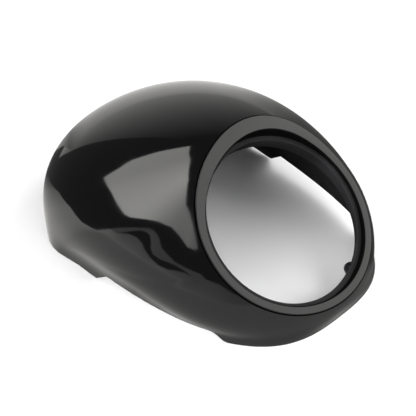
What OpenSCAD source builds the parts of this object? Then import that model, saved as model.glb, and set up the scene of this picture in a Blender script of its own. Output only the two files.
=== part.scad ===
// Headlight cowl for a motorbike: one thin moulded shell, millimetres, +Z up.
// A round opening leans back at the front, its face rising to a short visor,
// and the body sweeps back from it to a wide open rim that lies level.
// +X is the rider's left side when the opening faces -Y. Z = 0 is the plane of the rim.

/* [Round opening] */
// Diameter of the bore that the headlight's rim sits in
bore_d = 150; // [140:1:160]
// Depth of the seat, from the front of the opening at its sides
seat_depth = 4; // [3.5:0.5:6]
// Width of the seat, from the bore in to the collar
seat_w = 4; // [3:0.5:6]
// Height of the opening's centre over the rim
ring_h = 68.6; // [64:0.2:78]
// Angle that the opening's axis leans forward from upright
ring_lean = 37.8; // [32:0.2:43]
// Rounding of the lip, from the bore out to the face
lip_w = 2; // [1.5:0.5:3]

/* [Face of the opening] */
// Width of the face at the sides, from the bore
face_side = 7.5; // [6:0.5:10]
// Width of the face at the top, from the bore
face_top = 13.6; // [9:0.1:18]
// Width of the face at the bottom, from the bore
face_bottom = 7.3; // [6:0.1:10]
// Rise of the visor at the top of the opening
visor_rise = 15; // [8:0.2:20]
// Rise of the face at the bottom of the opening
chin_rise = 4.8; // [2:0.1:7]
// Drop of the face from its inner to its outer edge
face_drop = 0.5; // [0.2:0.1:1.2]
// Width of the groove between the face and the body
groove_w = 0.8; // [0.5:0.1:1.5]
// Depth of the body's edge below the face
groove_d = 1.6; // [1.2:0.1:2.4]

/* [Collar inside the opening] */
// Thickness of the collar
collar_t = 2.5; // [2:0.25:3.25]
// Depth of the collar's rear edge at the sides
collar_depth = 13.5; // [11:0.5:18]
// Extra depth of that edge at the top, less at the bottom
collar_slant = 7.5; // [0:0.5:9]

/* [Body] */
// Thickness of the wall
wall_t = 3; // [2:0.25:4]
// Half the width of the rim
rim_half_w = 112.2; // [104:0.2:124]
// Distance of the rim's widest place behind the opening's centre
widest_y = 158.3; // [145:0.1:175]
// Length of the rim behind its widest place
rear_len = 71; // [64:0.5:85]
// Distance of the rim's front behind the lowest edge of the face
chin_back = 0.25; // [0:0.25:8]
// Squareness of the rim's front part
front_p = 2.9; // [2.5:0.1:3.4]
// Squareness of the rim's rear part
rear_p = 1.95; // [1.8:0.05:2.3]

/* [Sweep of the body] */
// Angle below the face at which the body leaves its side
leave_side = 41.1; // [35:0.1:50]
// The same angle at the top
leave_top = 39.9; // [25:0.1:50]
// The same angle at the bottom
leave_bottom = 48.6; // [40:0.1:56]
// How far the body holds that direction at the sides
hold_side = 71.1; // [55:0.1:90]
// The same length at the top
hold_top = 78.5; // [50:0.5:110]
// The same length at the bottom
hold_bottom = 11.8; // [6:0.1:20]
// Outward lean of the wall where it leaves the rim at the sides
lean_side = -7.3; // [-12:0.1:4]
// The same lean at the rear of the dome
lean_rear = 46.2; // [25:0.2:52]
// The same lean at the chin
lean_chin = 7.2; // [-2:0.1:12]
// How far the wall holds that direction at the sides
stand_side = 34.7; // [20:0.1:45]
// The same length at the rear of the dome
stand_rear = 79.7; // [60:0.1:110]
// The same length at the chin
stand_chin = 6.4; // [4:0.1:10]

/* [Fork cut-outs] */
// Y of the front end of the cut-out, from the opening's centre
cut_y0 = -19.8; // [-28:0.2:-10]
// Y where the cut-out reaches its full height
cut_y1 = -2.1; // [-6:0.1:8]
// Y of the rear end of the cut-out, at the lug
cut_y2 = 101.7; // [90:0.1:108]
// Height of the cut-out at its front
cut_h1 = 9.4; // [6:0.1:14]
// Height of the cut-out at the lug
cut_h2 = 11.9; // [7:0.1:16]
// Flattening of the cut-out's roof between its ends
cut_sag = 1.05; // [0:0.05:2]
// Length of the lug's front flank
lug_front = 12; // [9:0.5:18]
// Width of the lug's tip
lug_tip = 6; // [2:0.5:9]
// Height of the lug's tip over the rim's plane
lug_h = 2; // [0.5:0.1:3]
// Length of the lug's rear flank
lug_rear = 15; // [9:0.5:20]
// Height of the rim behind the lug
back_h = 3; // [2.2:0.2:6]
// Length over which the rim comes down behind the lug
back_len = 60; // [40:1:70]

/* [Screw ears] */
// Angle of the ears below the sides of the opening
ear_angle = 62; // [50:1:72]
// Distance of the ear's hole from the opening's axis
ear_r = 71; // [68:0.5:76]
// Width of an ear
ear_w = 12; // [10:0.5:16]
// Thickness of an ear
ear_t = 3; // [2:0.25:4]
// Depth of the front of an ear, as a share of the wall's depth in line with it
ear_share = 0.466; // [0.42:0.002:0.6]
// Diameter of the screw hole in an ear
ear_hole_d = 5; // [4:0.1:6]

/* [Hidden] */
plastic = "#1c1c1e";
stations = 96;
rows = 14;
bore_r = bore_d / 2;
collar_r = bore_r - seat_w;
lip_r = bore_r + lip_w;
over = 1;
seat_bottom = seat_depth + wall_t;
collar_end = -seat_bottom - 0.5;
bore_top = -lip_w * 0.6;
draft = 0.02;
axis_n = [0, -sin(ring_lean), cos(ring_lean)];
front_len = widest_y - chin_back + (bore_r + face_bottom) * cos(ring_lean);

// Small helpers: a power that keeps the sign, and a value blended round the opening
// from what it is at the sides, the top and the bottom.
function spow(x, p) = (x < 0 ? -1 : 1) * pow(abs(x), p);
function round_mix(t, side, top, bottom) =
    side * (1 + cos(2 * t)) / 2
    + (top + bottom) * (1 - cos(2 * t)) / 4
    + (top - bottom) * sin(t) / 2;
function unit(v) = v / norm(v);

// A point at radius r, angle t and height d over the plane of the opening.
function ring_pt(r, t, d) = [
    r * cos(t),
    r * sin(t) * cos(ring_lean) - d * sin(ring_lean),
    ring_h + r * sin(t) * sin(ring_lean) + d * cos(ring_lean)
];
function radial(t) = [cos(t), sin(t) * cos(ring_lean), sin(t) * sin(ring_lean)];

// The face of the opening: its rise at the lip, its outer radius and outer height.
function rise(t) =
    visor_rise * pow(max(sin(t), 0), 2.4) + chin_rise * pow(max(-sin(t), 0), 2.2);
function face_r(t) = bore_r + face_side
    + (face_top - face_side) * pow(max(sin(t), 0), 2)
    + (face_bottom - face_side) * pow(max(-sin(t), 0), 2);
function face_d(t) = rise(t) * face_r(t) / lip_r - face_drop;
function collar_d(t) = min(-collar_depth - collar_slant * sin(t), collar_end);

// Where the bore and the collar go only part of the way round they widen by a small
// draft, so each true round wall is the short length that is whole.
function clear_of(r) = (r + 0.05) / cos(3.1);

// The rim in plan: two half superellipses that meet at the widest place.
function rim_p(t) = sin(t) > 0 ? rear_p : front_p;
function rim_len(t) = sin(t) > 0 ? rear_len : front_len;
function rim_pt(t) = [
    rim_half_w * spow(cos(t), 2 / rim_p(t)),
    widest_y + rim_len(t) * spow(sin(t), 2 / rim_p(t)),
    0
];
function rim_normal(t) = unit([
    spow(cos(t), 2 - 2 / rim_p(t)) / rim_half_w,
    spow(sin(t), 2 - 2 / rim_p(t)) / rim_len(t),
    0
]);

// The body's outer surface: at each angle a cubic curve from the groove (v = 0)
// to the rim (v = 1), set by the direction and the length held at each end.
function body_edge(t) = ring_pt(face_r(t) + groove_w, t, face_d(t) - groove_d);
function body_leave(t) = let (a = round_mix(t, leave_side, leave_top, leave_bottom))
    round_mix(t, hold_side, hold_top, hold_bottom) * (radial(t) * cos(a) - axis_n * sin(a));
function body_stand(t) = let (b = round_mix(t, lean_side, lean_rear, lean_chin))
    round_mix(t, stand_side, stand_rear, stand_chin) * (rim_normal(t) * sin(b) + [0, 0, cos(b)]);
function body_pt(t, v) = let (
        p0 = body_edge(t),
        p1 = p0 + body_leave(t),
        p3 = rim_pt(t),
        p2 = p3 + body_stand(t),
        w = 1 - v
    )
    p0 * w * w * w + p1 * 3 * v * w * w + p2 * 3 * v * v * w + p3 * v * v * v;
function body_normal(t, v) = v > 0.999
    ? rim_normal(t)
    : unit(cross(
        body_pt(t + 0.4, v) - body_pt(t - 0.4, v),
        body_pt(t, max(v - 0.01, 0)) - body_pt(t, v + 0.01)
    ));
function inner_pt(t, v) = body_pt(t, v) - wall_t * body_normal(t, v);

// Stations lie closer where the rim turns fastest against the angle.
station = [for (i = [0:stations - 1]) let (a = i * 360 / stations) a - 8.6 * sin(4 * a)];

// One closed profile: up the outside from the rim, over the face and the lip,
// down the collar, along the seat's back and down the inside to the rim.
function profile(t) = concat(
    [for (j = [0:rows]) body_pt(t, 1 - j / rows)],
    [
        ring_pt(face_r(t) - 0.3, t, face_d(t) - groove_d - 0.8),
        ring_pt(face_r(t), t, face_d(t) - 0.6),
        ring_pt(face_r(t) - 0.6, t, face_d(t)),
        ring_pt(lip_r, t, rise(t)),
        ring_pt(bore_r + lip_w / 2, t, rise(t) - lip_w * 0.2),
        ring_pt(bore_r + 0.3 + draft * rise(t), t, rise(t) - lip_w * 0.6),
        ring_pt(clear_of(bore_r), t, bore_top),
        ring_pt(collar_r - over, t, bore_top),
        ring_pt(collar_r - over, t, collar_end),
        ring_pt(clear_of(collar_r), t, collar_end),
        ring_pt(clear_of(collar_r) + 0.1 + draft * (collar_end - collar_d(t)), t, collar_d(t)),
        ring_pt(collar_r + collar_t, t, collar_d(t)),
        ring_pt(collar_r + collar_t, t, -seat_bottom),
        ring_pt(bore_r + wall_t, t, -seat_bottom),
        ring_pt(bore_r + wall_t, t, rise(t) - seat_bottom + wall_t - 0.2)
    ],
    [for (j = [0:rows]) inner_pt(t, j / rows)]
);
loops = [for (t = station) profile(t)];
loop_n = len(loops[0]);
points = [for (loop = loops) for (p = loop) p];
ring_faces = [
    for (i = [0:stations - 1]) for (j = [0:loop_n - 1])
        let (
            a = i * loop_n + j,
            b = i * loop_n + (j + 1) % loop_n,
            c = (i + 1) % stations * loop_n + (j + 1) % loop_n,
            d = (i + 1) % stations * loop_n + j
        )
        for (f = [[a, b, c], [a, c, d]]) f
];

// The origin lies under the middle of the shell's length.
all_y = [for (p = points) p[1]];
mid_y = (min(all_y) + max(all_y)) / 2;

// Side view of a cut-out's upper edge, from its front end to the rim behind the lug.
lug_y1 = cut_y2 + lug_front;
lug_y2 = lug_y1 + lug_tip;
lug_y3 = lug_y2 + lug_rear;
function roof(f) = cut_h1 + (cut_h2 - cut_h1) * f - 4 * cut_sag * f * (1 - f);
cut_line = concat(
    [for (f = [0:0.125:0.875]) [
        cut_y0 + (cut_y1 - cut_y0) * f,
        -over + (cut_h1 + over) * f * f * (3 - 2 * f)
    ]],
    [for (f = [0:0.125:1]) [cut_y1 + (cut_y2 - cut_y1) * f, roof(f)]],
    [[lug_y1, lug_h], [lug_y2, lug_h], [lug_y3, back_h], [lug_y3 + back_len, -over]]
);

// Everything below is set on the axis of the opening.
module on_axis() {
    translate([0, 0, ring_h])
        rotate([ring_lean, 0, 0])
            children();
}

// The bore above the seat and the hole of the collar, each turned by a share of a
// station's step so that its start lies between two stations of the shell.
module bores() {
    on_axis()
        rotate([0, 0, station[1] / 2]) {
            translate([0, 0, -seat_depth])
                cylinder(h = seat_depth + bore_top + over, r = bore_r, $fn = 96);
            translate([0, 0, collar_end - over])
                cylinder(h = over - collar_end, r = collar_r, $fn = 96);
        }
}

// The wall's radius from the opening's axis at a depth behind it, in line with an ear.
function depth_of(p) = -(p - [0, 0, ring_h]) * axis_n;
function radius_of(p) = norm(p - [0, 0, ring_h] + depth_of(p) * axis_n);
ear_line = [for (v = [0:0.02:1]) body_pt(-ear_angle, v)];
ear_depth = ear_share * depth_of(body_pt(-ear_angle, 1));
function wall_r(d) = lookup(d, [for (p = ear_line) [depth_of(p), radius_of(p)]]);
function root_r(d) = wall_r(d) - 0.6 * wall_t;

module at_ears() {
    for (a = [-ear_angle, ear_angle - 180])
        on_axis()
            rotate([0, 0, a])
                translate([0, 0, -ear_depth - ear_t])
                    children();
}

// The arm's end follows the slope of the wall and stops inside it.
module ears() {
    d0 = ear_depth;
    d1 = ear_depth + ear_t;
    arm_w = ear_w - 1.6;
    at_ears()
        union() {
            translate([ear_r, 0, 0])
                cylinder(h = ear_t, d = ear_w, $fn = 48);
            translate([0, arm_w / 2, 0])
                rotate([90, 0, 0])
                    linear_extrude(height = arm_w)
                        polygon([
                            [ear_r, 0],
                            [root_r(d1), 0],
                            [root_r(d0), ear_t],
                            [ear_r, ear_t]
                        ]);
        }
}

module ear_holes() {
    at_ears()
        translate([ear_r, 0, -over])
            cylinder(h = ear_t + 2 * over, d = ear_hole_d, $fn = 32);
}

module fork_cuts() {
    reach = 1.4 * rim_half_w;
    translate([-reach, 0, 0])
        rotate([90, 0, 90])
            linear_extrude(height = 2 * reach)
                polygon(concat(cut_line, [[lug_y3 + back_len, -cut_h1], [cut_y0, -cut_h1]]));
}

module cowl() {
    color(plastic)
        translate([0, -mid_y, 0])
            difference() {
                union() {
                    difference() {
                        polyhedron(points = points, faces = ring_faces, convexity = 8);
                        bores();
                    }
                    ears();
                }
                ear_holes();
                fork_cuts();
            }
}

cowl();
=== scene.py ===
from math import cos, pi, radians, sin

import bmesh
import bpy
import numpy as np
from bpy.props import FloatProperty, FloatVectorProperty, IntProperty, PointerProperty
from mathutils import Matrix, Vector


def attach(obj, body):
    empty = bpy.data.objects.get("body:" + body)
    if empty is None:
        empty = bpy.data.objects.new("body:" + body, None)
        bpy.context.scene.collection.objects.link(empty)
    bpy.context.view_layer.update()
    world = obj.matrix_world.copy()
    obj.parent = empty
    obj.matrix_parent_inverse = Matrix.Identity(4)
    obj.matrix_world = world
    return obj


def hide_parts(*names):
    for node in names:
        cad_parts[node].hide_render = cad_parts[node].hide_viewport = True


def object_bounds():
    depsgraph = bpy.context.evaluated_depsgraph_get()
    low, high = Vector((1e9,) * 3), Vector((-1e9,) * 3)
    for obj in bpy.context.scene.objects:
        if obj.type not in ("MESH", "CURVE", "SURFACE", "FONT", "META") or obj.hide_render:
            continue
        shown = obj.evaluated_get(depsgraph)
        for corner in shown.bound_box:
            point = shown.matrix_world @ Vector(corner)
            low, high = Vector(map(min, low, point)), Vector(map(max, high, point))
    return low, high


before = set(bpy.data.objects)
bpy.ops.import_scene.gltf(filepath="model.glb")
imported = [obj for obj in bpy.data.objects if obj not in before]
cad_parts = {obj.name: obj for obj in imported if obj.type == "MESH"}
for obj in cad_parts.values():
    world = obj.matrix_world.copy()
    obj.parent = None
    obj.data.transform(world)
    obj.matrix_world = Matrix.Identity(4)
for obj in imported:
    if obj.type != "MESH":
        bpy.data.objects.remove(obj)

CAD_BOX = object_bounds()

bl_info = {
    "name": "Headlight cowl",
    "version": (1, 0, 0),
    "blender": (4, 5, 0),
    "location": "View3D > Sidebar > Cowl",
    "description": "Builds a glossy one-piece headlight cowl with its screw ears and a studio stage",
    "category": "Add Mesh",
}

MM = 0.001

# The shell's mesh: stations up one side of the opening, rows of points at each station, and the steps that
# round a corner
STATIONS = 201
OUTER_ROWS = 72
INNER_ROWS = 44
MOUTH_STEPS = 5
RIM_STEPS = 4
RIM_ROUND = 0.5 * MM

# The shell's materials, in the order of its slots. The third is a darker black that paints shade into the
# groove and along the lip
GLOSS, DULL, GROOVE_SHADE = 0, 1, 2


def length(name, text, mm):
    """A length property, given in millimetres."""
    return FloatProperty(
        name=name, description=text, default=mm * MM, subtype="DISTANCE", unit="LENGTH", precision=5)


def angle(name, text, degrees):
    """An angle property, given in degrees."""
    return FloatProperty(
        name=name, description=text, default=radians(degrees), subtype="ANGLE", unit="ROTATION")


def number(name, text, value):
    """A plain number that isn't negative."""
    return FloatProperty(name=name, description=text, default=value, min=0)


def tint(name, text, values):
    """A colour property."""
    return FloatVectorProperty(
        name=name, description=text, default=values, subtype="COLOR", size=3, min=0, max=1)


class OpeningSizes(bpy.types.PropertyGroup):
    """The round opening, its face, the seat and the collar."""

    bore: length("Bore", "Radius of the bore that the headlight's rim sits in", 75)
    seat_depth: length("Seat depth", "Depth of the seat behind the front of the bore's sides", 4)
    seat_width: length("Seat width", "Width of the seat, from the bore in to the collar", 4)
    height: length("Height", "Height of the opening's centre over the rim", 68.6)
    lean: angle("Lean", "Angle that the opening's axis leans forward from upright", 37.8)
    lip: length("Lip", "Rounding from the bore out to the face", 2)
    face_side: length("Face, side", "Width of the face at the sides", 7.5)
    face_top: length("Face, top", "Width of the face at the top", 13.6)
    face_bottom: length("Face, bottom", "Width of the face at the bottom", 7.3)
    visor: length("Visor", "Rise of the face at the top", 15)
    chin: length("Chin", "Rise of the face at the bottom", 4.8)
    face_drop: length("Face drop", "Drop of the face from its inner to its outer edge", 0.5)
    groove_width: length("Groove width", "Width of the groove between the face and the body", 0.8)
    groove_depth: length("Groove depth", "Depth of the body's edge below the face", 1.6)
    collar_wall: length("Collar wall", "Thickness of the collar", 2.5)
    collar_depth: length("Collar depth", "Depth of the collar's rear edge at the sides", 13.5)
    collar_slant: length("Collar slant", "Extra depth of that edge at the top, less at the bottom", 7.5)


class BodySizes(bpy.types.PropertyGroup):
    """The swept body, its rim and the fork cut-outs."""

    wall: length("Wall", "Thickness of the wall", 3)
    half_width: length("Half width", "Half the width of the rim", 112.2)
    widest: length("Widest place", "Distance of the rim's widest place behind the opening's centre", 158.3)
    rear: length("Rear", "Length of the rim behind its widest place", 71)
    chin_back: length("Chin setback", "Distance of the rim's front behind the lowest edge of the face", 0.25)
    front_power: number("Front squareness", "Squareness of the rim's front part", 2.9)
    rear_power: number("Rear squareness", "Squareness of the rim's rear part", 1.95)
    leave_side: angle("Leave, side", "Angle below the face at which the body leaves its side", 41.1)
    leave_top: angle("Leave, top", "The same angle at the top", 39.9)
    leave_bottom: angle("Leave, bottom", "The same angle at the bottom", 48.6)
    hold_side: length("Hold, side", "How far the body holds that direction at the sides", 71.1)
    hold_top: length("Hold, top", "The same length at the top", 78.5)
    hold_bottom: length("Hold, bottom", "The same length at the bottom", 11.8)
    lean_side: angle("Lean, side", "Outward lean of the wall where it leaves the rim at the sides", -7.3)
    lean_rear: angle("Lean, rear", "The same lean at the rear of the dome", 46.2)
    lean_chin: angle("Lean, chin", "The same lean at the chin", 7.2)
    stand_side: length("Stand, side", "How far the wall holds that direction at the sides", 34.7)
    stand_rear: length("Stand, rear", "The same length at the rear of the dome", 79.7)
    stand_chin: length("Stand, chin", "The same length at the chin", 6.4)
    cut_start: length("Cut-out start", "Y of the front end of the cut-out from the opening's centre", -19.8)
    cut_full: length("Cut-out full height", "Y where the cut-out reaches its full height", -2.1)
    cut_end: length("Cut-out end", "Y of the rear end of the cut-out, at the lug", 101.7)
    cut_front_height: length("Cut-out front height", "Height of the cut-out at its front", 9.4)
    cut_rear_height: length("Cut-out rear height", "Height of the cut-out at the lug", 11.9)
    cut_sag: length("Cut-out sag", "Flattening of the cut-out's roof between its ends", 1.05)
    lug_front: length("Lug front", "Length of the lug's front flank", 12)
    lug_tip: length("Lug tip", "Width of the lug's tip", 6)
    lug_height: length("Lug height", "Height of the lug's tip over the rim's plane", 2)
    lug_rear: length("Lug rear", "Length of the lug's rear flank", 15)
    back_height: length("Back height", "Height of the rim behind the lug", 3)
    back_length: length("Back length", "Length over which the rim comes down behind the lug", 60)


class EarSizes(bpy.types.PropertyGroup):
    """The two screw ears inside the opening."""

    angle: angle("Angle", "Angle of the ears below the sides of the opening", 62)
    reach: length("Hole radius", "Distance of the ear's hole from the opening's axis", 75.5)
    width: length("Width", "Width of an ear", 12)
    thick: length("Thickness", "Thickness of an ear", 3)
    depth: length("Depth", "Depth of the front of an ear behind the opening's sides", 12)
    hole: length("Hole", "Diameter of the screw hole", 5)


class Finish(bpy.types.PropertyGroup):
    """Colours of the moulded plastic and of the floor."""

    gloss_colour: tint("Gloss black", "Colour of the glossy outside", (0.0008, 0.0008, 0.001))
    matt_colour: tint("Dull black", "Colour of the plain inside", (0.008, 0.008, 0.0085))
    floor_colour: tint("Floor", "Colour of the paper that the cowl stands on", (0.86, 0.86, 0.86))


class StudioSizes(bpy.types.PropertyGroup):
    """Camera and lights."""

    camera_side: angle("Camera side", "Angle of the camera from the front towards the cowl's near side", 44)
    camera_height: angle("Camera height", "Angle of the camera over the floor", 41.7)
    camera_distance: length("Camera distance", "Distance from the camera to the point it looks at", 1500)
    frame_pixels: IntProperty(
        name="Frame", description="Width and height of the picture in pixels", default=416, min=1)
    lens_pixels: number("Lens", "Focal length in pixels of that picture", 1761.3)
    overhead: number("Overhead lamp", "Brightness of the large lamp over the floor", 1.3)
    rear: number("Rear lamp", "Brightness of the lamp behind the far side", 6.5)
    front: number("Front lamp", "Brightness of the lamp before the opening", 6.0)
    low: number("Low lamp", "Brightness of the lower lamp before the opening", 2.8)
    side: number("Side lamp", "Brightness of the low lamp on the near side", 14.0)
    room: number("Room", "Brightness of the dark room round the studio", 0.11)


# ---------------------------------------------------------------- the loft


class Loft:
    """The cowl's surfaces, by the angle t round the opening and the share v of the way from groove to rim."""

    visor_power, chin_power = 2.4, 2.2

    def __init__(self, o, b):
        self.o, self.b = o, b
        self.n = np.array([0.0, -sin(o.lean), cos(o.lean)])
        self.centre = np.array([0.0, 0.0, o.height])
        self.lip_r = o.bore + o.lip
        self.front = b.widest - b.chin_back + (o.bore + o.face_bottom) * cos(o.lean)
        self.t = self.stations(STATIONS)
        self.middle = self.find_middle()

    def mix(self, t, side, top, bottom):
        """A value that turns smoothly from the one at the sides to those at the top and the bottom."""
        c2 = np.cos(2 * t)
        return side * (1 + c2) / 2 + (top + bottom) * (1 - c2) / 4 + (top - bottom) * np.sin(t) / 2

    def radial(self, t):
        lean = self.o.lean
        return np.stack([np.cos(t), np.sin(t) * cos(lean), np.sin(t) * sin(lean)], -1)

    def ring(self, r, t, d):
        """A point at radius r, angle t and height d over the plane of the opening."""
        r, d = np.broadcast_to(r, t.shape), np.broadcast_to(d, t.shape)
        return self.centre + r[..., None] * self.radial(t) + d[..., None] * self.n

    def rise(self, t):
        """Height of the lip over the plane of the opening: the visor and the chin."""
        o, s = self.o, np.sin(t)
        return o.visor * np.maximum(s, 0) ** self.visor_power + o.chin * np.maximum(-s, 0) ** self.chin_power

    def face_r(self, t):
        """Radius of the face's outer edge."""
        o, s = self.o, np.sin(t)
        top, bottom = np.maximum(s, 0) ** 2, np.maximum(-s, 0) ** 2
        side = o.face_side
        return o.bore + side + (o.face_top - side) * top + (o.face_bottom - side) * bottom

    def face_d(self, t):
        """Height of the face's outer edge."""
        return self.rise(t) * self.face_r(t) / self.lip_r - self.o.face_drop

    def collar(self, t):
        """Height of the collar's rear edge, which never comes closer than 0.5 mm to the back of the seat."""
        o = self.o
        return -np.maximum(o.collar_depth + o.collar_slant * np.sin(t), o.seat_depth + self.b.wall + 0.5 * MM)

    def rim_form(self, t):
        """Squareness and length of the half of the rim that t lies in."""
        rear = np.sin(t) > 0
        return np.where(rear, self.b.rear_power, self.b.front_power), np.where(rear, self.b.rear, self.front)

    def rim(self, t):
        p, run = self.rim_form(t)
        c, s = np.cos(t), np.sin(t)
        x = self.b.half_width * np.sign(c) * np.abs(c) ** (2 / p)
        y = self.b.widest + run * np.sign(s) * np.abs(s) ** (2 / p)
        return np.stack([x, y, np.zeros_like(x)], -1)

    def rim_normal(self, t):
        p, run = self.rim_form(t)
        c, s = np.cos(t), np.sin(t)
        x = np.sign(c) * np.abs(c) ** (2 - 2 / p) / self.b.half_width
        y = np.sign(s) * np.abs(s) ** (2 - 2 / p) / run
        v = np.stack([x, y, np.zeros_like(x)], -1)
        return v / np.linalg.norm(v, axis=-1, keepdims=True)

    def body(self, t, v):
        """The outer surface: a cubic curve from the groove (v = 0) to the rim (v = 1)."""
        o, b = self.o, self.b
        p0 = self.ring(self.face_r(t) + o.groove_width, t, self.face_d(t) - o.groove_depth)
        a = self.mix(t, b.leave_side, b.leave_top, b.leave_bottom)[..., None]
        hold = self.mix(t, b.hold_side, b.hold_top, b.hold_bottom)[..., None]
        p1 = p0 + hold * (self.radial(t) * np.cos(a) - self.n * np.sin(a))
        a = self.mix(t, b.lean_side, b.lean_rear, b.lean_chin)[..., None]
        stand = self.mix(t, b.stand_side, b.stand_rear, b.stand_chin)[..., None]
        p3 = self.rim(t)
        p2 = p3 + stand * (self.rim_normal(t) * np.sin(a) + np.array([0, 0, 1.0]) * np.cos(a))
        v = v[..., None]
        w = 1 - v
        return p0 * w**3 + 3 * p1 * v * w * w + 3 * p2 * v * v * w + p3 * v**3

    def normal(self, t, v):
        """The outer surface's normal, from points a small step away on each side."""
        step, last = 0.004, 0.995
        v = np.clip(v, 0, last)
        across = self.body(t + step, v) - self.body(t - step, v)
        along = self.body(t, np.maximum(v - step, 0)) - self.body(t, v + step)
        n = np.cross(across, along)
        return n / np.linalg.norm(n, axis=-1, keepdims=True)

    def inner(self, t, v):
        """The inside, one wall's thickness in from the outer surface."""
        return self.body(t, v) - self.b.wall * self.normal(t, v)

    def cut(self, y):
        """Height of the rim's lower edge over its plane, seen from the side."""
        b = self.b
        f = np.clip((y - b.cut_start) / (b.cut_full - b.cut_start), 0, 1)
        z = -MM + (b.cut_front_height + MM) * f * f * (3 - 2 * f)
        g = np.clip((y - b.cut_full) / (b.cut_end - b.cut_full), 0, 1)
        roof = b.cut_front_height + (b.cut_rear_height - b.cut_front_height) * g - 4 * b.cut_sag * g * (1 - g)
        z = np.where(y > b.cut_full, roof, z)
        lug = np.interp(y, self.breaks(), [b.cut_rear_height, b.lug_height, b.lug_height, b.back_height, -MM])
        z = np.where(y > b.cut_end, lug, z)
        return np.maximum(z, 0)

    def breaks(self):
        """Y of the corners of the lug and of the rim behind it."""
        b = self.b
        steps = np.array([0, b.lug_front, b.lug_tip, b.lug_rear, b.back_length])
        return b.cut_end + np.cumsum(steps)

    def end(self, t):
        """The share v at which the side cut-out trims the outer surface."""
        lowest, halvings = 0.55, 34
        low, high = np.full_like(t, lowest), np.ones_like(t)
        for _ in range(halvings):
            mid = (low + high) / 2
            p = self.body(t, mid)
            above = p[..., 2] > self.cut(p[..., 1])
            low, high = np.where(above, mid, low), np.where(above, high, mid)
        p = self.body(t, np.ones_like(t))
        return np.where(self.cut(p[..., 1]) <= 0, 1.0, high)

    def stations(self, count):
        """Angles round the opening, closer where the rim turns fast, and one at each corner of the cut-outs."""
        crowding, halvings = 0.15, 40
        a = np.linspace(-pi / 2, pi / 2, count)
        t = a - crowding * np.sin(4 * a)
        y = self.body(t, self.end(t))[..., 1]
        for at in (*self.breaks(), self.b.cut_full, self.b.cut_start):
            i = int(np.argmin(np.abs(y - at)))
            low, high = t[max(i - 1, 0)], t[min(i + 1, count - 1)]
            for _ in range(halvings):
                mid = np.array([(low + high) / 2])
                here = self.body(mid, self.end(mid))[0, 1]
                low, high = (mid[0], high) if here < at else (low, mid[0])
            t[i] = (low + high) / 2
        return np.concatenate([t, pi - t[-2:0:-1]])

    def find_middle(self):
        """Y of the middle of the shell's length, which the origin lies under."""
        samples = np.linspace(0, 1, 15)
        y = self.body(*np.meshgrid(self.t, samples, indexing="ij"))[..., 1]
        return (y.min() + y.max()) / 2


def rounded(points, radii, steps):
    """Rounds the corners of polylines. The points are (stations, corners, 3), with one radius per corner."""
    shortest, most = 1e-9, 0.49  # a side's least length, and the most of it that one corner takes
    out = [points[:, :1]]
    for i in range(1, points.shape[1] - 1):
        p, before, after = points[:, i], points[:, i - 1], points[:, i + 1]
        reach = []
        for other in (before, after):
            run = np.linalg.norm(other - p, axis=-1, keepdims=True)
            reach.append(p + (other - p) * np.minimum(radii[i] / np.maximum(run, shortest), most))
        s = np.linspace(0, 1, steps + 1)[None, :, None]
        a, b = reach[0][:, None], reach[1][:, None]
        out.append(a * (1 - s) ** 2 + 2 * p[:, None] * s * (1 - s) + b * s * s)
    out.append(points[:, -1:])
    return np.concatenate(out, 1)


def new_object(name, mesh):
    piece = bpy.data.objects.new(name, mesh)
    bpy.context.scene.collection.objects.link(piece)
    return piece


# ---------------------------------------------------------------- materials


class Value:
    """A number socket that Python's own operators work on."""

    def __init__(self, shader, socket):
        self.shader, self.socket = shader, socket

    def _math(self, kind, *others, swap=False):
        values = [self, *others]
        if swap:
            values = values[::-1]
        return self.shader.node("ShaderNodeMath", {"operation": kind}, *values)

    def __add__(self, other):
        return self._math("ADD", other)

    def __sub__(self, other):
        return self._math("SUBTRACT", other)

    def __rsub__(self, other):
        return self._math("SUBTRACT", other, swap=True)

    def __mul__(self, other):
        return self._math("MULTIPLY", other)

    __radd__ = __add__
    __rmul__ = __mul__

    def between(self, low, high):
        """0 below low, 1 above high, and smooth between."""
        smooth = {"interpolation_type": "SMOOTHSTEP"}
        return self.shader.node("ShaderNodeMapRange", smooth, self, low, high, 0.0, 1.0)


class Shader:
    """A node tree that is written as calls."""

    def __init__(self, tree):
        self.tree = tree
        tree.nodes.clear()

    def node(self, kind, settings=None, *values, out=0, **named):
        """Adds a node. Its sockets take numbers, colours or other nodes' values, in order or by name."""
        made = self.tree.nodes.new(kind)
        for key, value in (settings or {}).items():
            setattr(made, key, value)
        for key, value in [*enumerate(values), *named.items()]:
            socket = made.inputs[key if isinstance(key, int) else key.replace("_", " ")]
            if isinstance(value, Value):
                self.tree.links.new(value.socket, socket)
            else:
                socket.default_value = value
        return Value(self, made.outputs[out]) if len(made.outputs) else made

    def place(self):
        """Object coordinates."""
        return self.node("ShaderNodeTexCoord", out="Object")

    def noise(self, scale, detail, roughness=0.5):
        """Noise all through the piece, with about this many waves to a metre."""
        return self.node(
            "ShaderNodeTexNoise", None, Vector=self.place(), Scale=scale, Detail=detail, Roughness=roughness)

    def blend(self, share, low, high):
        """The colour low where the share is 0 and high where it is 1."""
        return self.node(
            "ShaderNodeMix", {"data_type": "RGBA"}, out=2, Factor=share, A=(*low, 1.0), B=(*high, 1.0))

    def bump(self, height, strength, distance):
        return self.node("ShaderNodeBump", None, Strength=strength, Distance=distance, Height=height)

    def finish(self, kind, output="ShaderNodeOutputMaterial", **sockets):
        """Adds the last shader and the output."""
        self.node(output, None, Surface=self.node(kind, None, **sockets))


def new_material(name):
    material = bpy.data.materials.new(name)
    material.use_nodes = True
    return material, Shader(material.node_tree)


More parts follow.
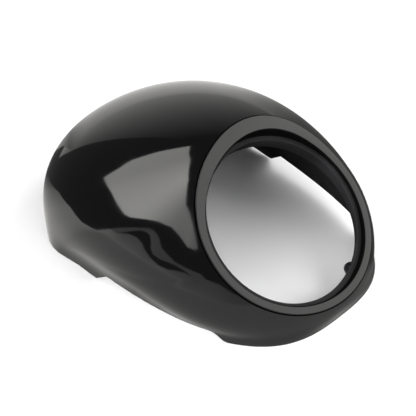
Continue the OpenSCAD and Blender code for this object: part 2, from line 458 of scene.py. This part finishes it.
def gloss_black(finish):
    """High-gloss moulded plastic: deep black, with a faint flow ripple, fine dust and rubbed patches."""
    material, shader = new_material("gloss_black_plastic")
    flow = shader.noise(scale=16.0, detail=2.0, roughness=0.45)
    peel = shader.noise(scale=420.0, detail=2.0)
    specks = shader.noise(scale=1500.0, detail=3.0, roughness=0.6).between(0.72, 0.8)
    rubbed = shader.noise(scale=38.0, detail=4.0, roughness=0.6).between(0.35, 0.75)
    dust_grey = (0.16, 0.16, 0.16)
    shader.finish(
        "ShaderNodeBsdfPrincipled",
        Base_Color=shader.blend(specks * 0.03, finish.gloss_colour, dust_grey),
        Roughness=0.055 + 0.03 * rubbed + 0.1 * specks,
        IOR=1.5,
        Normal=shader.bump(flow * 0.6 + peel * 0.02, strength=0.05, distance=1.0 * MM),
    )
    return material


def dull_black(finish, name="dull_black_plastic", depth=1.0):
    """The unpolished inside of the moulding, with a fine even grain. A lower depth makes it darker, which the
    groove and the lip use as painted shade.
    """
    material, shader = new_material(name)
    cloud = shader.noise(scale=22.0, detail=3.0)
    grain = shader.noise(scale=900.0, detail=3.0, roughness=0.55)
    dark = tuple(c * depth for c in finish.matt_colour)
    pale = tuple(c * 1.9 for c in dark)
    shader.finish(
        "ShaderNodeBsdfPrincipled",
        Base_Color=shader.blend(cloud.between(0.35, 0.7), dark, pale),
        Roughness=0.42 + 0.14 * cloud.between(0.3, 0.7),
        IOR=1.08 + 0.12 * depth,
        Normal=shader.bump(grain, strength=0.12, distance=0.4 * MM),
    )
    return material


def floor_paper(finish):
    """White studio paper with a faint cloudiness and a fine grain."""
    material, shader = new_material("floor_paper")
    cloud = shader.noise(scale=2.5, detail=2.0).between(0.4, 0.7)
    grain = shader.noise(scale=700.0, detail=2.0)
    shade = tuple(c * 0.97 for c in finish.floor_colour)
    shader.finish(
        "ShaderNodeBsdfPrincipled",
        Base_Color=shader.blend(cloud, finish.floor_colour, shade),
        Roughness=0.9,
        Normal=shader.bump(grain, strength=0.03, distance=0.2 * MM),
    )
    return material


# ---------------------------------------------------------------- the pieces


class COWL_OT_shell(bpy.types.Operator):
    """Builds the moulded shell from its loft"""

    bl_idname = "cowl.shell"
    bl_label = "Build the shell"

    # The share of the curve from groove to rim at which the inner rows start, and the share of the inner rows
    # from which the inside turns level, so that the rim's lower edge is flat
    inner_from, level_from = 0.02, 0.86

    def outside(self, loft, end, shares):
        """Rows of the outer surface, from the rim's rounded edge up to just below the groove."""
        t, b, step, gap = loft.t, loft.b, 0.02, 0.45 * MM
        run = np.linalg.norm(loft.body(t, end) - loft.body(t, end - step), axis=-1) / step
        stop = end - RIM_ROUND / np.maximum(run, 1e-4)
        start = gap / (3 * loft.mix(t, b.hold_side, b.hold_top, b.hold_bottom))
        v = stop[:, None] + (start - stop)[:, None] * shares[None]
        return loft.body(np.broadcast_to(t[:, None], v.shape), v)

    def mouth(self, loft, first):
        """Groove, face, lip, seat and collar."""
        t, o, b = loft.t, loft.o, loft.b
        face_r, face_d, rise = loft.face_r(t), loft.face_d(t), loft.rise(t)
        collar = loft.collar(t)
        seat_back = -(o.seat_depth + b.wall)
        inner_r = o.bore - o.seat_width
        under, deep = 0.2 * MM, 1.0 * MM  # how far the groove cuts in under the face, and below the body's edge
        neck = rise - o.seat_depth - 0.2 * MM
        top = np.zeros_like(t)
        # The corners of the section, with the rounding of each in millimetres
        path = [
            (first, 0),
            (loft.ring(face_r + o.groove_width, t, face_d - o.groove_depth), 0.4),
            (loft.ring(face_r - under, t, face_d - o.groove_depth - deep), 0.3),
            (loft.ring(face_r, t, face_d), 0.8),
            (loft.ring(o.bore, t, rise), 2.0),
            (loft.ring(o.bore, t, -o.seat_depth), 0.3),
            (loft.ring(inner_r, t, -o.seat_depth), 0.5),
            (loft.ring(inner_r, t, collar), 1.1),
            (loft.ring(inner_r + o.collar_wall, t, collar), 1.1),
            (loft.ring(inner_r + o.collar_wall, t, seat_back), 0.4),
            (loft.ring(o.bore + b.wall, t, seat_back), 0.4),
            (loft.ring(o.bore + b.wall, t, neck), 0.8),
            (loft.inner(t, top), 0.6),
            (loft.inner(t, top + self.inner_from), 0),
        ]
        corners = np.stack([p for p, _ in path], 1)
        return rounded(corners, [r * MM for _, r in path], MOUTH_STEPS)[:, 1:]

    def inside(self, loft, end):
        """Rows of the inside, from the collar's foot back down to the rim."""
        share = np.linspace(0, 1, INNER_ROWS)[1:]
        v = self.inner_from + (end - self.inner_from)[:, None] * share[None]
        t = np.broadcast_to(loft.t[:, None], v.shape)
        level = np.clip((share[None] - self.level_from) / (1 - self.level_from), 0, 1)[..., None]
        level = level * level * (3 - 2 * level)
        normal = loft.normal(t, v) * (1 - level) + loft.rim_normal(t) * level
        normal /= np.linalg.norm(normal, axis=-1, keepdims=True)
        inside = loft.body(t, v) - loft.b.wall * normal
        return inside[:, :-1]

    def rim(self, loft, end, last, first):
        """The rim's lower edge, from the last inner row to the first outer one."""
        edge = loft.body(loft.t, end)
        corner = edge - loft.rim_normal(loft.t) * loft.b.wall
        section = np.stack([last, corner, edge, first], 1)
        return rounded(section, [0, RIM_ROUND, RIM_ROUND, 0], RIM_STEPS)[:, 1:-1]

    def smooth_crease(self, loft, outside, shares):
        """Smooths the faint crease that starts at the widest place, where the rim's two halves meet."""
        reach, passes, strength, fade_from, fade_over = 7, 12, 0.25, 0.25, 0.3
        weight = np.clip((shares - fade_from) / fade_over, 0, 1)[None, :, None] * strength
        for widest in (0, pi):
            i = int(np.argmin(np.abs(loft.t - widest)))
            near = outside[i - reach:i + reach + 1]
            for _ in range(passes):
                near[1:-1] += weight * (near[:-2] + near[2:] - 2 * near[1:-1])

    def execute(self, context):
        scene = context.scene
        loft = Loft(scene.cowl_opening, scene.cowl_body)
        end = loft.end(loft.t)
        shares = np.linspace(0, 1, OUTER_ROWS)
        shares = shares - 0.035 * np.sin(2 * pi * shares)  # closer rows at both ends

        outside = self.outside(loft, end, shares)
        mouth = self.mouth(loft, outside[:, -1])
        inside = self.inside(loft, end)
        rim = self.rim(loft, end, inside[:, -1], outside[:, 0])
        self.smooth_crease(loft, outside, shares)
        rows = np.concatenate([outside, mouth, inside, rim], 1)
        rows[..., 1] -= loft.middle
        # The fine mesh bulges past the CAD's flat facets by under 0.1 mm, so it is fitted into their box
        fits = [CAD_BOX[1][k] / rows[..., k].max() for k in range(3)]
        fits += [CAD_BOX[0][k] / rows[..., k].min() for k in range(2)]
        rows *= min(1.0, *fits)

        count, per = rows.shape[:2]
        i, j = np.meshgrid(np.arange(count), np.arange(per), indexing="ij")
        k, l = (i + 1) % count, (j + 1) % per
        quads = np.stack([i * per + j, i * per + l, k * per + l, k * per + j], -1).reshape(-1, 4)

        # Gloss down to the lip, the fourth rounded corner of the mouth, and dull from there to the middle of
        # the rim's inner corner. The groove, the first two corners, and half of the lip are a darker black:
        # painted shade.
        row = np.broadcast_to(np.arange(per), (count, per)).reshape(-1)
        corner = MOUTH_STEPS + 1
        gloss_to = OUTER_ROWS + 4 * corner - 1
        rim_edge = OUTER_ROWS + mouth.shape[1] + inside.shape[1] + RIM_STEPS // 2
        dull = (row >= gloss_to) & (row < rim_edge)
        groove = (row > OUTER_ROWS) & (row < OUTER_ROWS + 2 * corner - 1)
        lip = (row >= gloss_to - corner // 2) & (row <= gloss_to)
        slots = np.where(groove | lip, GROOVE_SHADE, np.where(dull, DULL, GLOSS))

        mesh = bpy.data.meshes.new("cowl_shell")
        mesh.from_pydata(rows.reshape(-1, 3).tolist(), [], quads.tolist())
        mesh.materials.append(gloss_black(scene.cowl_finish))
        mesh.materials.append(dull_black(scene.cowl_finish))
        # A darker copy of the dull black, which paints shade into the groove and along the lip
        mesh.materials.append(dull_black(scene.cowl_finish, "edge_black_plastic", 0.15))
        mesh.polygons.foreach_set("material_index", slots.astype(np.int32))
        mesh.polygons.foreach_set("use_smooth", np.ones(len(quads), bool))
        work = bmesh.new()
        work.from_mesh(mesh)
        bmesh.ops.recalc_face_normals(work, faces=work.faces)
        work.to_mesh(mesh)
        work.free()
        mesh.update()
        piece = new_object("cowl_shell", mesh)
        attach(piece, "root")
        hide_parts("cowl")
        return {"FINISHED"}


class COWL_OT_ears(bpy.types.Operator):
    """Builds the two screw ears inside the opening"""

    bl_idname = "cowl.ears"
    bl_label = "Build the screw ears"

    inset = 1.6 * MM  # how much narrower the arm is than the round tip
    root_depth = 0.6  # depth of the arm's root in the wall, from outside, as a share of the wall
    bevel = 0.35 * MM
    tip_points, hole_points = 41, 32

    def one_ear(self, ears, loft, wall):
        """One ear lying on its own axes: the opening's axis at the origin, the ear along +X."""
        samples = 60
        t = np.full(samples, -ears.angle)
        line = loft.body(t, np.linspace(0, 0.9, samples)) - loft.centre
        depth = -line @ loft.n
        radius = np.linalg.norm(line + depth[:, None] * loft.n, axis=-1)
        arm, r, hole_r = (ears.width - self.inset) / 2, ears.width / 2, ears.hole / 2
        turn = np.arcsin(arm / r)
        around = np.linspace(turn, 2 * pi - turn, self.tip_points)
        tip = [(ears.reach + r * cos(a), r * sin(a)) for a in around[::-1]]
        around = np.linspace(0, 2 * pi, self.hole_points + 1)[:-1]
        hole = [(ears.reach + hole_r * cos(a), hole_r * sin(a)) for a in around]

        work = bmesh.new()
        rings = []
        for d in (ears.depth, ears.depth + ears.thick):
            root = float(np.interp(d, depth, radius)) - self.root_depth * wall
            pair = [
                [work.verts.new((x, y, -d)) for x, y in ((root, -arm), *tip, (root, arm))],
                [work.verts.new((x, y, -d)) for x, y in hole],
            ]
            edges = [work.edges.new((a, b)) for ring in pair for a, b in zip(ring, ring[1:] + ring[:1])]
            bmesh.ops.triangle_fill(work, use_beauty=True, edges=edges)
            rings.append(pair)
        for a, b in zip(*rings):
            for i in range(len(a)):
                j = (i + 1) % len(a)
                work.faces.new((a[i], a[j], b[j], b[i]))
        bmesh.ops.recalc_face_normals(work, faces=work.faces)
        corner = radians(52)
        sharp = [e for e in work.edges if len(e.link_faces) == 2 and e.calc_face_angle(0) > corner]
        bmesh.ops.bevel(
            work, geom=sharp, offset=self.bevel, segments=2, profile=0.5, affect="EDGES", clamp_overlap=True)
        mesh = bpy.data.meshes.new("ear_form")
        work.to_mesh(mesh)
        work.free()
        return mesh

    def ears_tree(self):
        """The ear given, once on each side, turned by the spread from straight down."""
        tree = bpy.data.node_groups.new("screw_ears", "GeometryNodeTree")
        tree.interface.new_socket("Geometry", in_out="OUTPUT", socket_type="NodeSocketGeometry")
        for name, kind in (("Ear", "Object"), ("Spread", "Float"), ("Material", "Material")):
            tree.interface.new_socket(name, in_out="INPUT", socket_type="NodeSocket" + kind)
        nodes = Shader(tree)
        ear = nodes.node(
            "GeometryNodeObjectInfo", None, Object=nodes.node("NodeGroupInput", out="Ear"), out="Geometry")
        side = 2.0 * nodes.node("GeometryNodeInputIndex") - 1.0
        turn = side * nodes.node("NodeGroupInput", out="Spread") - pi / 2
        both = nodes.node(
            "GeometryNodeInstanceOnPoints", None,
            Points=nodes.node("GeometryNodePoints", None, Count=2),
            Instance=ear,
            Rotation=nodes.node("ShaderNodeCombineXYZ", None, Z=turn),
        )
        real = nodes.node("GeometryNodeRealizeInstances", None, both)
        dressed = nodes.node(
            "GeometryNodeSetMaterial", None, real, Material=nodes.node("NodeGroupInput", out="Material"))
        nodes.node("NodeGroupOutput", None, dressed)
        return tree

    def execute(self, context):
        scene = context.scene
        ears, body = scene.cowl_ears, scene.cowl_body
        loft = Loft(scene.cowl_opening, body)
        form = new_object("ear_form", self.one_ear(ears, loft, body.wall))
        holder = new_object("ears_holder", bpy.data.meshes.new("ears_holder"))
        modifier = holder.modifiers.new("ears", "NODES")
        modifier.node_group = self.ears_tree()
        values = {"Ear": form, "Spread": pi / 2 - ears.angle, "Material": dull_black(scene.cowl_finish)}
        for item in modifier.node_group.interface.items_tree:
            if item.in_out == "INPUT":
                modifier[item.identifier] = values[item.name]
        depsgraph = context.evaluated_depsgraph_get()
        mesh = bpy.data.meshes.new_from_object(holder.evaluated_get(depsgraph), depsgraph=depsgraph)
        if len(mesh.polygons) == 0:
            raise RuntimeError("the screw ears came out empty")
        lean = Matrix.Rotation(loft.o.lean, 4, "X")
        mesh.transform(Matrix.Translation(Vector((0, -loft.middle, loft.o.height))) @ lean)
        mesh.name = "screw_ears"
        bpy.data.objects.remove(holder)
        bpy.data.objects.remove(form)
        mesh.shade_smooth()
        mesh.set_sharp_from_angle(angle=radians(50))
        piece = new_object("screw_ears", mesh)
        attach(piece, "root")
        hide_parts("cowl")
        return {"FINISHED"}


# ---------------------------------------------------------------- the studio

# Bright cards that the gloss reflects. Each column is an azimuth, a lower and an upper elevation in
# degrees, seen from the middle of the floor, and the brightness of the card at both ends.
CARDS = {
    "side_softbox": [
        (93.3, 52.3, 52.5, 3.6, 3.6), (95.1, 50.4, 53.1, 3.6, 3.6), (96.8, 48.4, 53.6, 3.7, 3.7),
        (100, 42.5, 54.4, 3.7, 3.7), (105, 34.5, 55.6, 3.7, 3.7), (110, 30.8, 56.8, 3.7, 3.7),
        (114.4, 24.8, 57.8, 3.6, 3.9), (118.3, 25.2, 58.4, 3.7, 4.1), (127.9, 26, 58.6, 4.6, 4.8),
        (137.7, 24.9, 58.2, 5.3, 5.4), (144.9, 23.9, 57.6, 5.6, 5.8), (148.5, 25.2, 57.2, 5.7, 5.8),
        (151.4, 27.6, 56.9, 5.6, 5.7), (156, 30.8, 55.6, 5.3, 5.4), (165, 35.1, 52.9, 3.8, 4.6),
        (174.5, 37.1, 48.9, 2.8, 3.2), (182.6, 36, 47.1, 2.4, 2.8), (190.2, 33.3, 43.8, 2.4, 2.7),
        (195.5, 34.5, 39.9, 1.8, 1.9), (197.7, 36.2, 36.4, 1.7, 1.7),
    ],
    "side_wall": [
        (140, -20, -6.1, 1.8, 1.8), (145.7, -20, 6.4, 1.9, 1.6), (149.2, -20, 6.8, 1.9, 1.3),
        (154.4, -20, 14, 1.9, 0.9), (158.9, -20, 16.2, 1.9, 0.9), (163, -20, 15, 1.8, 0.9),
        (165.7, -20, 10.8, 1.7, 0.9), (169, -20, 6.8, 1.7, 1.0), (173.6, -20, 3.6, 1.7, 1.2),
        (179, -20, 5.2, 1.6, 1.0), (183, -20, 8.9, 1.55, 0.85), (185.8, -20, 10.8, 1.5, 0.8),
        (188, -20, 12.3, 1.4, 0.78), (193, -20, 12.7, 1.3, 0.75), (200.7, -20, 19.0, 1.25, 0.7),
        (212.7, -20, 17.4, 1.0, 0.7), (221.9, -20, 10.8, 0.9, 0.6), (236, -20, 2, 0.9, 0.6),
        (262, -20, -4, 0.9, 0.6),
    ],
    "side_ledge": [
        (145.7, 6.2, 6.6, 0.75, 0.75), (149.2, 6.8, 13.7, 0.75, 0.75), (154.4, 17, 21.2, 0.75, 0.7),
        (158.5, 22.9, 25.4, 0.8, 0.6), (162.3, 24.9, 28.4, 0.9, 0.6), (165.2, 24.2, 29, 0.95, 0.7),
        (167.5, 19.9, 28.4, 0.95, 0.8), (168.2, 16, 28.1, 0.95, 0.8), (170.2, 11.8, 27.2, 0.85, 0.8),
        (174.4, 11.4, 21.6, 0.75, 0.75), (183.2, 14.9, 17.7, 0.7, 0.7), (188.9, 14.4, 18.3, 0.7, 0.7),
        (193, 12.6, 18.9, 0.75, 0.7), (200.7, 19.1, 19.8, 0.7, 0.7),
    ],
    "rear_screen": [
        (8, -12, 30, 0.35, 0.1), (26, -12, 44, 0.4, 0.15), (36, -12, 50, 0.55, 0.2),
        (44, -12, 52, 0.7, 0.2), (56, -12, 53, 0.85, 0.15), (66, -12, 52, 0.95, 0.14),
        (76, -12, 49, 0.9, 0.13), (82.6, -12, 46, 0.7, 0.13), (84.6, -2, 44, 0.6, 0.13),
    ],
    "front_softbox": [
        (272, 12, 62, 2.2, 2.3), (300, 10, 66, 2.25, 2.25), (330, 8, 62, 2.3, 2.2), (350, 10, 58, 2.2, 2.1),
    ],
}
CARD_DISTANCE = 2.5  # metres
CARD_ROWS = 6

# The table top as the gloss sees it: an angle in degrees, the brightness close to the cowl, and the
# distance in metres and the brightness of the table's edge
TABLE = [
    (68, 0.95, 3.0, 0.9), (76, 0.9, 3.0, 0.8), (80, 0.7, 3.0, 0.6), (84, 0.45, 3.0, 0.5),
    (86, 0.38, 0.9, 0.4), (90, 0.5, 0.3, 0.5), (94, 0.55, 0.23, 0.55), (97, 0.4, 0.19, 0.4),
    (101, 0.2, 0.2, 0.2), (104, 0.1, 0.2, 0.1), (107, 0.1, 0.22, 0.12), (111, 0.3, 0.26, 0.3),
    (116, 0.6, 0.42, 0.8), (127, 1.1, 0.523, 1.55), (139, 1.2, 0.4, 1.7), (143, 1.14, 0.5, 1.7),
    (147, 0.96, 2.0, 1.7), (165, 0.94, 3.0, 1.7), (185, 0.93, 3.0, 1.5), (200, 0.92, 3.0, 1.2),
    (215, 0.9, 3.0, 0.95), (235, 0.9, 3.0, 0.9), (262, 0.8, 3.0, 0.95), (275, 0.45, 3.0, 0.8),
    (290, 0.3, 3.0, 0.7), (300, 0.08, 3.0, 0.5), (320, 0.08, 3.0, 0.4), (345, 0.08, 3.0, 0.4),
    (0, 0.1, 3.0, 0.45), (16, 0.13, 3.0, 0.5), (24, 0.25, 3.0, 0.6), (30, 0.45, 3.0, 0.6),
    (35, 0.75, 3.0, 0.5), (41, 1.0, 3.0, 0.45), (46, 1.0, 3.0, 0.6), (52, 1.0, 3.0, 0.8),
    (60, 1.0, 3.0, 0.9),
]
# Shares of the way out to the edge at which the table has points, and the steps between two of its angles
TABLE_SHARES = (0, 0.03, 0.08, 0.16, 0.3, 0.5, 0.75, 1)
TABLE_STEPS = 4
# In metres from the middle: where the painted shadow of the cowl on the table ends, with its glow, and where
# the brightness close to the cowl is reached, and the height of the table's glow over the floor
PAINTED_SHADOW_RADIUS, PAINTED_SHADOW_GLOW, HEM_RADIUS, TABLE_RISE = 0.105, 0.02, 0.118, 0.0002

# The lamps, named as their brightness in the studio's sizes: azimuth and elevation in degrees, and distance
# and size in metres
LAMPS = {
    "overhead": (200, 80, 2.4, 2.2),
    "rear": (-10, 32, 2.2, 1.4),
    "front": (300, 33, 2.2, 1.2),
    "low": (265, 26, 2.2, 1.5),
    "side": (190, 20, 2.2, 1.5),
}
FLOOR_RADIUS = 1.5  # metres
BACKDROP = 1.2      # brightness of the room as the camera sees it
SENSOR = 36.0       # width in millimetres
AIM = (-18.3 * MM, 71.5 * MM, 48.7 * MM)  # where the camera looks, from under the opening's centre


class COWL_OT_studio(bpy.types.Operator):
    """Sets up the floor, the lights and the camera"""

    bl_idname = "cowl.studio"
    bl_label = "Set up the studio"

    def floor(self, finish):
        mesh = bpy.data.meshes.new("floor")
        work = bmesh.new()
        bmesh.ops.create_circle(work, cap_ends=True, radius=FLOOR_RADIUS, segments=96)
        work.to_mesh(mesh)
        work.free()
        mesh.materials.append(floor_paper(finish))
        floor = new_object("floor", mesh)
        floor.visible_glossy = False

    def camera(self, sizes, middle):
        side, up = sizes.camera_side, sizes.camera_height
        to_camera = Vector((-cos(side) * cos(up), -sin(side) * cos(up), sin(up)))
        right = Vector((sin(side), -cos(side), 0))
        target = Vector((AIM[0], AIM[1] - middle, AIM[2]))
        data = bpy.data.cameras.new("camera")
        data.sensor_fit = "HORIZONTAL"
        data.sensor_width = SENSOR
        data.lens = SENSOR * sizes.lens_pixels / sizes.frame_pixels
        data.clip_end = 50
        camera = new_object("camera", data)
        turn = Matrix((right, to_camera.cross(right), to_camera)).transposed().to_4x4()
        camera.matrix_world = Matrix.Translation(target + to_camera * sizes.camera_distance) @ turn
        return camera

    def lamp(self, name, light, azimuth, elevation, distance, size):
        """A soft square panel that faces the cowl and lights the floor, but doesn't show in the gloss."""
        data = bpy.data.lights.new(name, "AREA")
        data.shape = "SQUARE"
        data.size = size
        data.energy = light * pi * size * size
        lamp = new_object(name, data)
        a, e = radians(azimuth), radians(elevation)
        out = Vector((cos(a) * cos(e), sin(a) * cos(e), sin(e)))
        lamp.location = out * distance
        lamp.rotation_euler = out.to_track_quat("Z", "Y").to_euler()
        lamp.visible_camera = lamp.visible_glossy = False

    def glow_mesh(self, name, points, faces, glow):
        """A mesh that only reflections see, with a brightness for each of its points."""
        mesh = bpy.data.meshes.new(name)
        mesh.from_pydata(points, [], faces)
        shade = mesh.attributes.new("glow", "FLOAT_COLOR", "POINT")
        shade.data.foreach_set("color", [c for g in glow for c in (g, 0.99 * g, 0.97 * g, 1.0)])
        material, shader = new_material(name)
        warm = shader.node("ShaderNodeAttribute", {"attribute_name": "glow"}, out="Color")
        shader.finish("ShaderNodeEmission", Color=warm, Strength=1.0)
        mesh.materials.append(material)
        card = new_object(name, mesh)
        card.visible_camera = card.visible_diffuse = card.visible_shadow = card.visible_transmission = False

    def card(self, name, columns):
        points, faces, glow = [], [], []
        for azimuth, low, high, bright_low, bright_high in columns:
            for i in range(CARD_ROWS + 1):
                share = i / CARD_ROWS
                a, e = radians(azimuth), radians(low + (high - low) * share)
                out = (cos(a) * cos(e), sin(a) * cos(e), sin(e))
                points.append([CARD_DISTANCE * x for x in out])
                glow.append(bright_low + (bright_high - bright_low) * share)
        step = CARD_ROWS + 1
        for c in range(len(columns) - 1):
            for r in range(CARD_ROWS):
                k = c * step + r
                faces.append((k, k + 1, k + 1 + step, k + step))
        self.glow_mesh(name, points, faces, glow)

    def table(self):
        """The table top's glow: a painted shadow, dark under the cowl, and blended between the directions in
        TABLE.
        """
        columns = []
        for k, (degrees, near_glow, far, far_glow) in enumerate(TABLE):
            after, after_near, after_far, after_glow = TABLE[(k + 1) % len(TABLE)]
            for step in range(TABLE_STEPS):
                f = step / TABLE_STEPS
                out = Vector((cos(radians(degrees)), sin(radians(degrees)))) * (1 - f)
                turned = Vector((cos(radians(after)), sin(radians(after)))) * f
                edge, hem = out * far + turned * after_far, (out + turned) * HEM_RADIUS
                near, bright = near_glow * (1 - f) + after_near * f, far_glow * (1 - f) + after_glow * f
                # Each column starts at the painted shadow under the cowl
                column = [((out + turned) * PAINTED_SHADOW_RADIUS, PAINTED_SHADOW_GLOW)]
                column += [(hem + (edge - hem) * s, near + (bright - near) * s) for s in TABLE_SHARES]
                columns.append(column)
        # The middle point is black: the painted shadow under the cowl
        points, glow = [(0.0, 0.0, TABLE_RISE)], [0.0]
        for column in columns:
            for place, bright in column:
                points.append((place.x, place.y, TABLE_RISE))
                glow.append(bright)
        faces, rows = [], len(columns[0])
        for k in range(len(columns)):
            a, b = 1 + k * rows, 1 + (k + 1) % len(columns) * rows
            faces.append((0, a, b))
            faces += [(a + r, a + r + 1, b + r + 1, b + r) for r in range(rows - 1)]
        self.glow_mesh("table_glow", points, faces, glow)

    def room(self, world, level):
        """A dark room that the camera sees as a white backdrop."""
        world.use_nodes = True
        shader = Shader(world.node_tree)
        seen = shader.node("ShaderNodeLightPath", out="Is Camera Ray")
        shader.finish(
            "ShaderNodeBackground", "ShaderNodeOutputWorld",
            Color=(1.0, 1.0, 1.0, 1.0), Strength=level + (BACKDROP - level) * seen)

    def execute(self, context):
        scene = context.scene
        sizes = scene.cowl_studio
        self.floor(scene.cowl_finish)
        scene.camera = self.camera(sizes, Loft(scene.cowl_opening, scene.cowl_body).middle)
        for name, columns in CARDS.items():
            self.card(name, columns)
        self.table()
        for name, place in LAMPS.items():
            self.lamp(name + "_lamp", getattr(sizes, name), *place)
        scene.world = bpy.data.worlds.new("room")
        self.room(scene.world, sizes.room)
        scene.view_settings.view_transform = "Standard"
        scene.view_settings.look = "None"
        return {"FINISHED"}


class COWL_PT_sidebar(bpy.types.Panel):
    """Lists the cowl's operators and sizes"""

    bl_label = "Headlight cowl"
    bl_idname = "COWL_PT_sidebar"
    bl_space_type = "VIEW_3D"
    bl_region_type = "UI"
    bl_category = "Cowl"

    def draw(self, context):
        for made in OPERATORS:
            self.layout.operator(made.bl_idname)
        for name in GROUPS:
            group = getattr(context.scene, name)
            box = self.layout.box()
            for key in group.bl_rna.properties.keys():
                if key not in ("name", "rna_type"):
                    box.prop(group, key)


GROUPS = {
    "cowl_opening": OpeningSizes,
    "cowl_body": BodySizes,
    "cowl_ears": EarSizes,
    "cowl_finish": Finish,
    "cowl_studio": StudioSizes,
}
OPERATORS = (COWL_OT_shell, COWL_OT_ears, COWL_OT_studio)
CLASSES = (*GROUPS.values(), *OPERATORS, COWL_PT_sidebar)


def register():
    for made in CLASSES:
        bpy.utils.register_class(made)
    for name, group in GROUPS.items():
        setattr(bpy.types.Scene, name, PointerProperty(type=group))


def unregister():
    for name in GROUPS:
        delattr(bpy.types.Scene, name)
    for made in reversed(CLASSES):
        bpy.utils.unregister_class(made)


def main():
    register()
    bpy.ops.cowl.shell()
    bpy.ops.cowl.ears()
    bpy.ops.cowl.studio()


if __name__ == "__main__":
    main()
